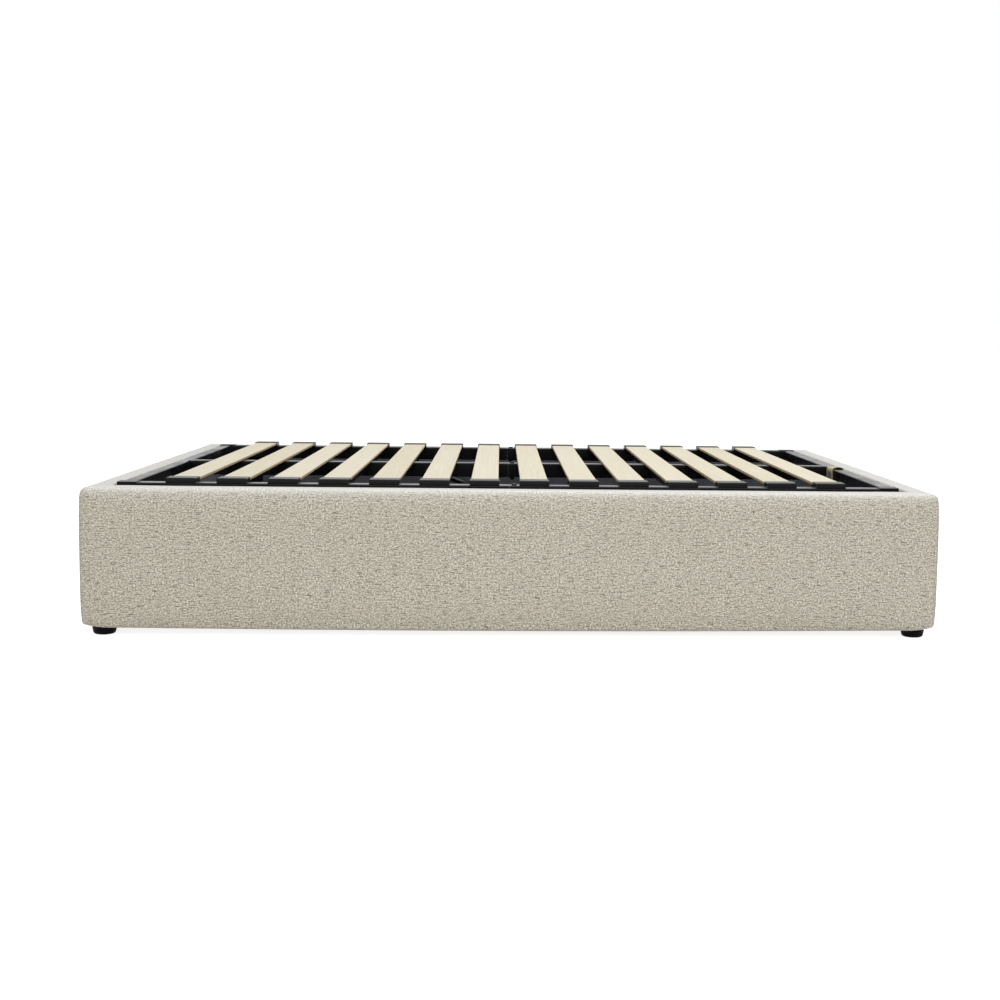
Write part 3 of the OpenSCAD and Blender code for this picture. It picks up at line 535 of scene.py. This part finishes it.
def mesh_piece(name, points, faces, uv, finish):
    """An object from points, quads and one UV pair for each face corner."""
    if enclosed(points, faces) < 0:
        faces, uv = faces[:, ::-1], uv[:, ::-1]
    mesh = bpy.data.meshes.new(name)
    mesh.from_pydata(points.tolist(), [], faces.tolist())
    layer = mesh.uv_layers.new(name="UVMap")
    layer.data.foreach_set("uv", np.ascontiguousarray(uv, np.float32).ravel())
    mesh.polygons.foreach_set("use_smooth", np.ones(len(faces), bool))
    mesh.materials.append(finish)
    mesh.update()
    made = bpy.data.objects.new(name, mesh)
    scene.collection.objects.link(made)
    return made


def loop_faces(rings, sides, closed_along):
    """Quads between neighbouring rings of a closed section, as (ring, side) index pairs."""
    j, i = np.meshgrid(np.arange(rings if closed_along else rings - 1), np.arange(sides),
                       indexing="ij")
    j, i = j.ravel(), i.ravel()
    ring = np.stack([j, j + 1, j + 1, j], 1)
    side = np.stack([i, i, i + 1, i + 1], 1)
    return ring, side


def loop_piece(name, grid, u, v, finish, closed_along=False):
    """Closed shell from grid[ring, side]: quads all round, and at open ends strips that join
    side i to its partner on the other half of the section. u and v are metres of cloth along
    the rings and round the section, each with one value more than there are rings or sides."""
    rings, sides = grid.shape[:2]
    ring, side = loop_faces(rings, sides, closed_along)
    faces = (ring % rings) * sides + side % sides
    uv = np.stack([u[ring], v[side]], -1)
    if not closed_along:
        i = np.arange(sides // 2 - 1)
        partner = sides - 1 - i
        start = np.stack([i, i + 1, partner - 1, partner], 1)
        end = np.stack([i + 1, i, partner, partner - 1], 1)
        for ends, at_ring in ((start, 0), (end, rings - 1)):
            faces = np.concatenate([faces, at_ring * sides + ends])
            uv = np.concatenate([uv, np.stack([np.full(ends.shape, u[at_ring]), v[ends]], -1)])
    return mesh_piece(name, grid.reshape(-1, 3), faces, uv, finish)


# %% [markdown]
# ## The padded covers
# Each panel is a board with foam glued to its outer face and a cover pulled over it: from the
# staples under the board, up the face, over the rim and down to the staples inside. So a cover
# is one section carried along the panel, which follows the upright corner and ends at a mitre
# seam. The section's outer line and its inner line have the same number of points.

# %% The section of a cover
def arc_points(x, z, r, start, end, count):
    """Points on an arc: centre plus r times cosine and sine, without the first one."""
    a = np.radians(np.linspace(start, end, count + 1))[1:]
    return np.stack([x + r * np.cos(a), z + r * np.sin(a)], 1)


def line_points(start, end, count):
    """Evenly spaced points on a line, without the first one."""
    return np.linspace(start, end, count + 1)[1:]


FACE_LOW = FOOT_H + BOTTOM_R
FACE_HIGH = RIM_H - RIM_R
FACE_ROWS = 22


def cover_section():
    """Outer line and inner line as (distance in from the outer face, height). The face swells
    by 1 - (2t - 1)^4 of its height t."""
    t = np.linspace(0, 1, FACE_ROWS + 1)[1:-1]
    face = np.stack([SWELL * (2 * t - 1) ** 4, FACE_LOW + (FACE_HIGH - FACE_LOW) * t], 1)
    inside = RIM_W - HEM - MM
    parts = [
        np.array([[PAD + HEM_UNDER, FOOT_H]]),
        line_points((PAD + HEM_UNDER, FOOT_H), (BOTTOM_R + SWELL, FOOT_H), 4),
        arc_points(BOTTOM_R + SWELL, FACE_LOW, BOTTOM_R, -90, -180, 4), face,
        arc_points(RIM_R + SWELL, FACE_HIGH, RIM_R, 180, 90, 5),
        line_points((RIM_R + SWELL, RIM_H), (inside, RIM_H), 5),
        arc_points(inside, RIM_H - HEM - MM, HEM + MM, 90, 0, 3),
        line_points((RIM_W, RIM_H - HEM - MM), (RIM_W, RIM_H - HEM_IN), 3),
    ]
    outer = np.concatenate(parts)
    ends = np.cumsum([len(p) for p in parts]) - 1
    near, far = PAD - CLEAR, PAD + BOARD + CLEAR
    low, high = FOOT_H + HEM - CLEAR, RIM_H - 10 * MM + CLEAR
    anchors = np.array([[PAD + HEM_UNDER, low], [near, low], [near, high], [far, high],
                        [far, RIM_H - HEM_IN]])
    steps = [0, ends[1], ends[4], ends[6] - 1, ends[7]]
    marks = np.arange(len(outer))
    inner = np.stack([np.interp(marks, steps, anchors[:, k]) for k in (0, 1)], 1)
    return outer, inner


outer_line, inner_line = cover_section()
section = np.concatenate([outer_line, inner_line[::-1]])
print("section points", len(section))

# %% [markdown]
# Along the panel, the rings are about 17 mm apart. In the corner, a point that lies less than
# the corner's radius from the outer face runs round it for 45 degrees, and a deeper one runs
# straight to the mitre. The bottom edge droops a little, most at the middle, and is pulled up at
# the corners, as on the real one: by 12 mm * (1 - d / 75 mm)^2 at a distance d from the corner.

# %% Carrying the section along a panel
RING_GAP = 17 * MM
BEND_TURNS = np.radians([0, 9, 18, 27, 36, 42, 45])
SEAM_HALF = 0.2 * MM
CORNER_LIFT = 12 * MM
CORNER_REACH = 75 * MM
LIFTED_BAND = 30 * MM


def cover_rings(half):
    """grid[ring, point] of (along, distance in, height), and the length of cloth at each ring."""
    p, z = section[:, 0], section[:, 1]
    straight = half - RIM_W - 20 * MM
    marks = np.linspace(-1, 1, 2 * round(straight / RING_GAP) + 1)
    body = np.stack([np.stack([m * straight + 0 * p, p], -1) for m in marks])
    back_off = 9 * MM * (1 - BEND_TURNS / BEND_TURNS[-1])
    short = CORNER_R - p
    round_x = half - CORNER_R + short * np.sin(BEND_TURNS)[:, None]
    round_p = CORNER_R - short * np.cos(BEND_TURNS)[:, None]
    deep = (p >= CORNER_R)[None, :]
    bend_x = np.where(deep, half - p - back_off[:, None], round_x) - SEAM_HALF
    bend_p = np.where(deep, p, round_p)
    bend = np.stack([bend_x, bend_p], -1)
    share = np.linspace(0, 1, 6)[1:-1, None, None]
    reach = body[-1] * (1 - share) + bend[0] * share
    right_end = np.concatenate([reach, bend])
    left_end = right_end[::-1] * (-1, 1)
    flat = np.concatenate([left_end, body, right_end])
    t = np.clip(flat[..., 0] / straight, -1, 1)
    hang = np.where(z < FACE_LOW, (FACE_LOW - z) / BOTTOM_R, 0.0)
    height = z - (DROOP + SAG * (1 - t * t)) * np.clip(hang, 0, 1)
    from_corner = np.maximum(half - np.abs(flat[..., 0]), flat[..., 1])
    pulled = np.clip(1 - from_corner / CORNER_REACH, 0, 1) ** 2
    band_top = FACE_LOW + LIFTED_BAND
    low_part = np.clip((band_top - z) / (band_top - FOOT_H), 0, 1)
    height = height + CORNER_LIFT * pulled * low_part
    grid = np.concatenate([flat, height[..., None]], -1)
    face = grid[:, len(outer_line) // 2]
    cloth_u = np.concatenate([[0], np.cumsum(np.linalg.norm(np.diff(face, axis=0), axis=1))])
    return grid, cloth_u


def turned(points, quarter):
    """Points turned about Z by a number of quarter turns."""
    c, s = [(1, 0), (0, 1), (-1, 0), (0, -1)][quarter % 4]
    x, y, z = points[..., 0], points[..., 1], points[..., 2]
    return np.stack([c * x - s * y, s * x + c * y, z], -1)


cloth_v = np.concatenate([[0], np.cumsum(np.linalg.norm(
    np.diff(np.vstack([section, section[:1]]), axis=0), axis=1))])


def cover_shell(name, half, out, quarter, start_u):
    """One cover: its rings, set out from the middle of the bed and turned to its side."""
    grid, cloth_u = cover_rings(half)
    local = np.stack([grid[..., 0], out - grid[..., 1], grid[..., 2]], -1)
    u = start_u + np.append(cloth_u, cloth_u[-1])
    return loop_piece(name, turned(local, quarter), u, cloth_v, fabric)


# %% [markdown]
# ## Filling the covers
# The foam behind the fabric pushes it out a little. A cloth simulation with some pressure and
# no gravity finds that shape: the inner line, the staples and the mitres are held, the rest is
# free. How far a point may move is capped, and it is least on the rim, which lies on the board.

# %% Cloth simulation of one cover
PUSH_CAP = 3.0 * MM
RIM_SHARE = 0.3
FRAMES = 20
PRESSURE = 4


def pushed_out(piece):
    """Runs Cloth for FRAMES frames and adds each point's move to the rest shape, with its length m
    brought to cap * tanh(m / cap)."""
    m = len(outer_line)
    sides = 2 * m
    count = len(piece.data.vertices)
    ring, side = np.divmod(np.arange(count), sides)
    rings = count // sides
    edge = np.minimum(ring, rings - 1 - ring)
    free = (side >= 4) & (side < m - 3) & (edge >= 4)
    held = piece.vertex_groups.new(name="held")
    held.add(np.flatnonzero(~free).tolist(), 1.0, "REPLACE")
    rest = np.empty(count * 3, np.float32)
    piece.data.vertices.foreach_get("co", rest)
    rest = rest.reshape(-1, 3).astype(float)
    cloth_sim = piece.modifiers.new("filling", "CLOTH")
    cloth_sim.settings.quality = 4
    cloth_sim.settings.mass = 0.3
    cloth_sim.settings.vertex_group_mass = "held"
    cloth_sim.settings.use_pressure = True
    cloth_sim.settings.uniform_pressure_force = PRESSURE
    cloth_sim.settings.effector_weights.gravity = 0
    cloth_sim.collision_settings.use_collision = False
    for number in range(1, FRAMES + 1):
        scene.frame_set(number)
    ready = piece.evaluated_get(bpy.context.evaluated_depsgraph_get())
    moved = np.empty(count * 3, np.float32)
    ready.data.vertices.foreach_get("co", moved)
    piece.modifiers.remove(cloth_sim)
    piece.vertex_groups.clear()
    scene.frame_set(1)
    step = moved.reshape(-1, 3).astype(float) - rest
    length = np.linalg.norm(step, axis=1, keepdims=True)
    allowed = PUSH_CAP * np.tanh(length / PUSH_CAP)
    on_rim = rest[:, 2] > RIM_H - RIM_R
    share = np.where(on_rim, RIM_SHARE, 1.0)[:, None]
    final = rest + step * np.divide(allowed, length, out=np.zeros_like(length),
                                    where=length > 1e-9) * share
    piece.data.vertices.foreach_set("co", final.astype(np.float32).ravel())
    piece.data.update()
    return float(length.max())


# %% The four covers
COVERS = [("padded_cover_front", "cover_front", HALF_L, HALF_W, 2, 0.0),
          ("padded_cover_foot", "cover_foot", HALF_W, HALF_L, 3, 2.3),
          ("padded_cover_back", "cover_back", HALF_L, HALF_W, 0, 4.1),
          ("padded_cover_head", "cover_head", HALF_W, HALF_L, 1, 6.4)]
for name, cad_name, half, out, quarter, start_u in COVERS:
    cover = cover_shell(name, half, out, quarter, start_u)
    print(name, "moved up to", round(pushed_out(cover) / MM, 2), "mm before the cap")
    smooth = cover.modifiers.new("smooth", "SUBSURF")
    smooth.levels = smooth.render_levels = 1
    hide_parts(cad_name)
    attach(cover, "base")
    print(name, len(cover.data.polygons), "quads before smoothing")

# %% [markdown]
# ## The pull strap
# The strap is one band of webbing sewn into a loop round the foot end rail, with room for a
# hand below it. Its line goes over the rail with small rounded corners, hangs down on both
# sides and closes in a half circle. The band's own section, a flat bar with round edges, is
# carried along that line. It sits loose, so over the rail its near edge stands up a little.

# %% The webbing loop
WEB_T = 2 * MM


def strap_line(count):
    """Closed line down the middle of the webbing, in (x, z): flat over the rail, corners of
    4 mm, straight legs and a half circle, spaced evenly by arc length."""
    x0, x1 = strap_low.x + WEB_T / 2, strap_high.x - WEB_T / 2
    z0, z1 = strap_low.z + WEB_T / 2, strap_high.z - WEB_T / 2
    r, low_r = 4 * MM, (x1 - x0) / 2
    rough = np.concatenate([
        arc_points(x1 - r, z1 - r, r, 90, 0, 8),
        arc_points((x0 + x1) / 2, z0 + low_r, low_r, 0, -180, 40),
        arc_points(x0 + r, z1 - r, r, 180, 90, 8)])
    rough = np.vstack([rough, rough[:1]])
    along = np.concatenate([[0], np.cumsum(np.linalg.norm(np.diff(rough, axis=0), axis=1))])
    s = np.linspace(0, along[-1], count + 1)
    return np.stack([np.interp(s, along, rough[:, k]) for k in (0, 1)], 1)[:-1], s


def band_section(width, thickness):
    """Closed section of webbing as (across, out): a flat bar whose edges are half circles."""
    r = thickness / 2
    flat = np.linspace(-1, 1, 9)[1:-1] * (width / 2 - r)
    turn = np.radians(np.linspace(-90, 90, 5))
    right = np.stack([width / 2 - r + r * np.cos(turn), r * np.sin(turn)], 1)
    left = -right
    top = np.stack([flat[::-1], np.full(len(flat), r)], 1)
    bottom = np.stack([flat, np.full(len(flat), -r)], 1)
    return np.concatenate([right, top, left, bottom])


line, cloth_s = strap_line(180)
ahead = np.roll(line, -1, axis=0) - np.roll(line, 1, axis=0)
ahead /= np.linalg.norm(ahead, axis=1, keepdims=True)
outward = np.stack([-ahead[:, 1], ahead[:, 0]], 1)
band = band_section(STRAP_W, WEB_T)
hang = np.clip((strap_high.z - 50 * MM - line[:, 1]) / (100 * MM), 0, 1)
middle_y = (strap_low.y + strap_high.y) / 2 + 2.5 * MM * np.sin(hang * math.pi)
strap_grid = np.empty((len(line), len(band), 3))
strap_grid[..., 0] = line[:, :1] + outward[:, :1] * band[:, 1]
strap_grid[..., 1] = middle_y[:, None] + band[:, 0] * (1 - 0.06 * hang[:, None])
strap_grid[..., 2] = line[:, 1:] + outward[:, 1:] * band[:, 1]
rail_middle = (strap_low.x + strap_high.x) / 2
side_x = (strap_grid[..., 0] - rail_middle) * 2 / (strap_high.x - strap_low.x)
near_edge = 0.5 - (strap_grid[..., 1] - middle_y[:, None]) / STRAP_W
on_top = np.clip((line[:, 1:] - strap_high.z + 5 * MM) / (3 * MM), 0, 1)
strap_grid[..., 2] += 4.5 * MM * on_top * (1 - side_x ** 2) * (0.2 + 0.8 * near_edge)
band_v = np.append(band[:, 0], band[0, 0])
strap = loop_piece("pull_strap_webbing", strap_grid, cloth_s, band_v, webbing, closed_along=True)
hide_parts("pull_strap")
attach(strap, "lift_frame")
print("strap loop", round(cloth_s[-1], 3), "m of webbing")

# %% [markdown]
# The ends of the band overlap on the inner side and are sewn with a box and a cross in it. A
# stitch is a tiny spindle, whose radius is r * sqrt(1 - t^2) at t from -1 to 1 along it.

# %% The overlap and its stitches
LAP = 44 * MM
STITCH_PITCH = 4.2 * MM
lap_top = strap_high.z - 62 * MM
lap_steps = np.linspace(0, 1, 24)
lap_ends = np.clip(np.minimum(lap_steps, 1 - lap_steps) / 0.06, 0.25, 1)
lap_z = lap_top - LAP * lap_steps
lap_grid = np.empty((len(lap_steps), len(band), 3))
lap_grid[..., 0] = strap_low.x - 0.45 * WEB_T - band[:, 1] * lap_ends[:, None] * 0.9
lap_grid[..., 1] = middle_y.max() + band[:, 0] * 0.95
lap_grid[..., 2] = lap_z[:, None]
lap = loop_piece("strap_lap", lap_grid, LAP * np.append(lap_steps, 1), band_v, webbing)


def seam_marks(corners, pitch):
    """Middles and directions of stitches, one every pitch along straight lines in (y, z)."""
    starts, ends = corners[:-1], corners[1:]
    runs = [np.linspace(a, b, round(np.linalg.norm(b - a) / pitch), endpoint=False)
            for a, b in zip(starts, ends)]
    turns = [np.repeat([(b - a) / np.linalg.norm(b - a)], len(run), axis=0)
             for a, b, run in zip(starts, ends, runs)]
    return np.concatenate(runs), np.concatenate(turns)


def stitches(name, middles, turns, x, finish):
    """Spindles of 3 mm by 0.8 mm, flat on the plane of this x."""
    t = np.linspace(-1, 1, 7)
    a = np.radians(np.arange(0, 360, 60))
    r = 0.45 * MM * np.sqrt(np.clip(1 - t ** 2, 0.02, 1))
    along = 1.6 * MM * t[None, :, None] * np.ones(len(a))
    out = r[:, None] * np.cos(a)
    aside = r[:, None] * np.sin(a)
    across = np.stack([-turns[:, 1], turns[:, 0]], 1)
    points = np.empty((len(middles), len(t), len(a), 3))
    points[..., 0] = x - out
    for k in (0, 1):
        points[..., k + 1] = (middles[:, k, None, None] + along * turns[:, k, None, None]
                              + aside * across[:, k, None, None])
    ring, side = loop_faces(len(t), len(a), False)
    one = ring * len(a) + side % len(a)
    faces = (one[None] + np.arange(len(middles))[:, None, None] * len(t) * len(a)).reshape(-1, 4)
    uv = np.zeros(faces.shape + (2,))
    return mesh_piece(name, points.reshape(-1, 3), faces, uv, finish)


half_w, half_h = STRAP_W * 0.38, LAP * 0.36
box_and_cross = [(-1, -1), (1, -1), (1, 1), (-1, 1), (-1, -1), (1, 1)]
marks_and_turns = [seam_marks(np.array(corners) * (half_w, half_h), STITCH_PITCH)
                   for corners in (box_and_cross, [(-1, 1), (1, -1)])]
middles = np.concatenate([m for m, _ in marks_and_turns]) + (middle_y.max(), lap_top - LAP / 2)
turns = np.concatenate([t for _, t in marks_and_turns])
sewn = stitches("strap_stitches", middles, turns, strap_low.x - 1.5 * WEB_T, thread)
for piece in (lap, sewn):
    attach(piece, "lift_frame")
print(len(middles), "stitches")

# %% [markdown]
# ## Weld beads
# The frame's tubes meet in fillet welds. A bead is a cord laid along the joint, half sunk in the
# tubes, whose radius ripples with the drops of molten steel: r * (1 + 0.13 sin(2 pi s / 2.4 mm)).

# %% Beads along the joints of the tubes
BEAD_R = 2.2 * MM
BEAD_SIDES = 8
RIPPLE = 2.4 * MM
BITE = 2 * MM


def bead_grid(corners, axis, place):
    """grid[ring, side] of a cord along corners in the plane across the axis at this place."""
    corners = np.array(corners)
    along = np.concatenate([[0], np.cumsum(np.linalg.norm(np.diff(corners, axis=0), axis=1))])
    s = np.arange(0, along[-1], 0.8 * MM)
    flat = np.stack([np.interp(s, along, corners[:, k]) for k in (0, 1)], 1)
    for _ in range(4):
        flat[1:-1] = (flat[:-2] + 2 * flat[1:-1] + flat[2:]) / 4
    ahead = np.gradient(flat, axis=0)
    ahead /= np.linalg.norm(ahead, axis=1, keepdims=True)
    aside = np.stack([-ahead[:, 1], ahead[:, 0]], 1)
    ends = np.sqrt(np.clip(np.minimum(s, s[-1] - s) / (2 * MM), 0.04, 1))
    r = BEAD_R * (1 + 0.13 * np.sin(2 * math.pi * s / RIPPLE)) * ends
    a = np.radians(np.arange(BEAD_SIDES) * 360 / BEAD_SIDES)
    plane = flat[:, None] + aside[:, None] * (r[:, None] * np.cos(a))[..., None]
    off = place + r[:, None] * np.sin(a)
    first, last = ((off, plane[..., 0]) if axis == "x" else (plane[..., 0], off))
    return np.stack([first, last, plane[..., 1]], -1), s


end_low, end_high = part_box("end_rail_foot")
head_low, head_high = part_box("end_rail_head")
middle_low, middle_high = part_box("centre_rail_foot")
cross_low, cross_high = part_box("cross_rails")
half_cross = middle_high.y
cross_x = [cross_low.x + half_cross, cross_high.x - half_cross]
z_in, z_low = end_high.z - BITE, end_low.z
beads = [bead_grid([(x_in, z_in), (x_in, z_low), (x_far, z_low)], "y", y)
         for x_in, x_far in ((end_low.x, end_high.x - 3 * MM), (head_high.x, head_low.x + 3 * MM))
         for y in (end_low.y, end_high.y)]
beads += [bead_grid([(half_cross, z_in), (half_cross, middle_low.z), (-half_cross, middle_low.z),
                     (-half_cross, z_in)], "x", x) for x in (end_low.x, head_high.x)]
z_bite = cross_low.z + BITE
beads += [bead_grid([(x - half_cross, z_bite), (x - half_cross, cross_high.z),
                     (x + half_cross, cross_high.z), (x + half_cross, z_bite)], "y", y)
          for x in cross_x for y in (cross_low.y, -half_cross, half_cross, cross_high.y)]
for number, (grid, s) in enumerate(beads, 1):
    bead = loop_piece(f"weld_bead_{number:02d}", grid, np.append(s, s[-1]),
                      np.linspace(0, 2 * math.pi * BEAD_R, grid.shape[1] + 1), tube_coat)
    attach(bead, "lift_frame")
print(len(beads), "weld beads")
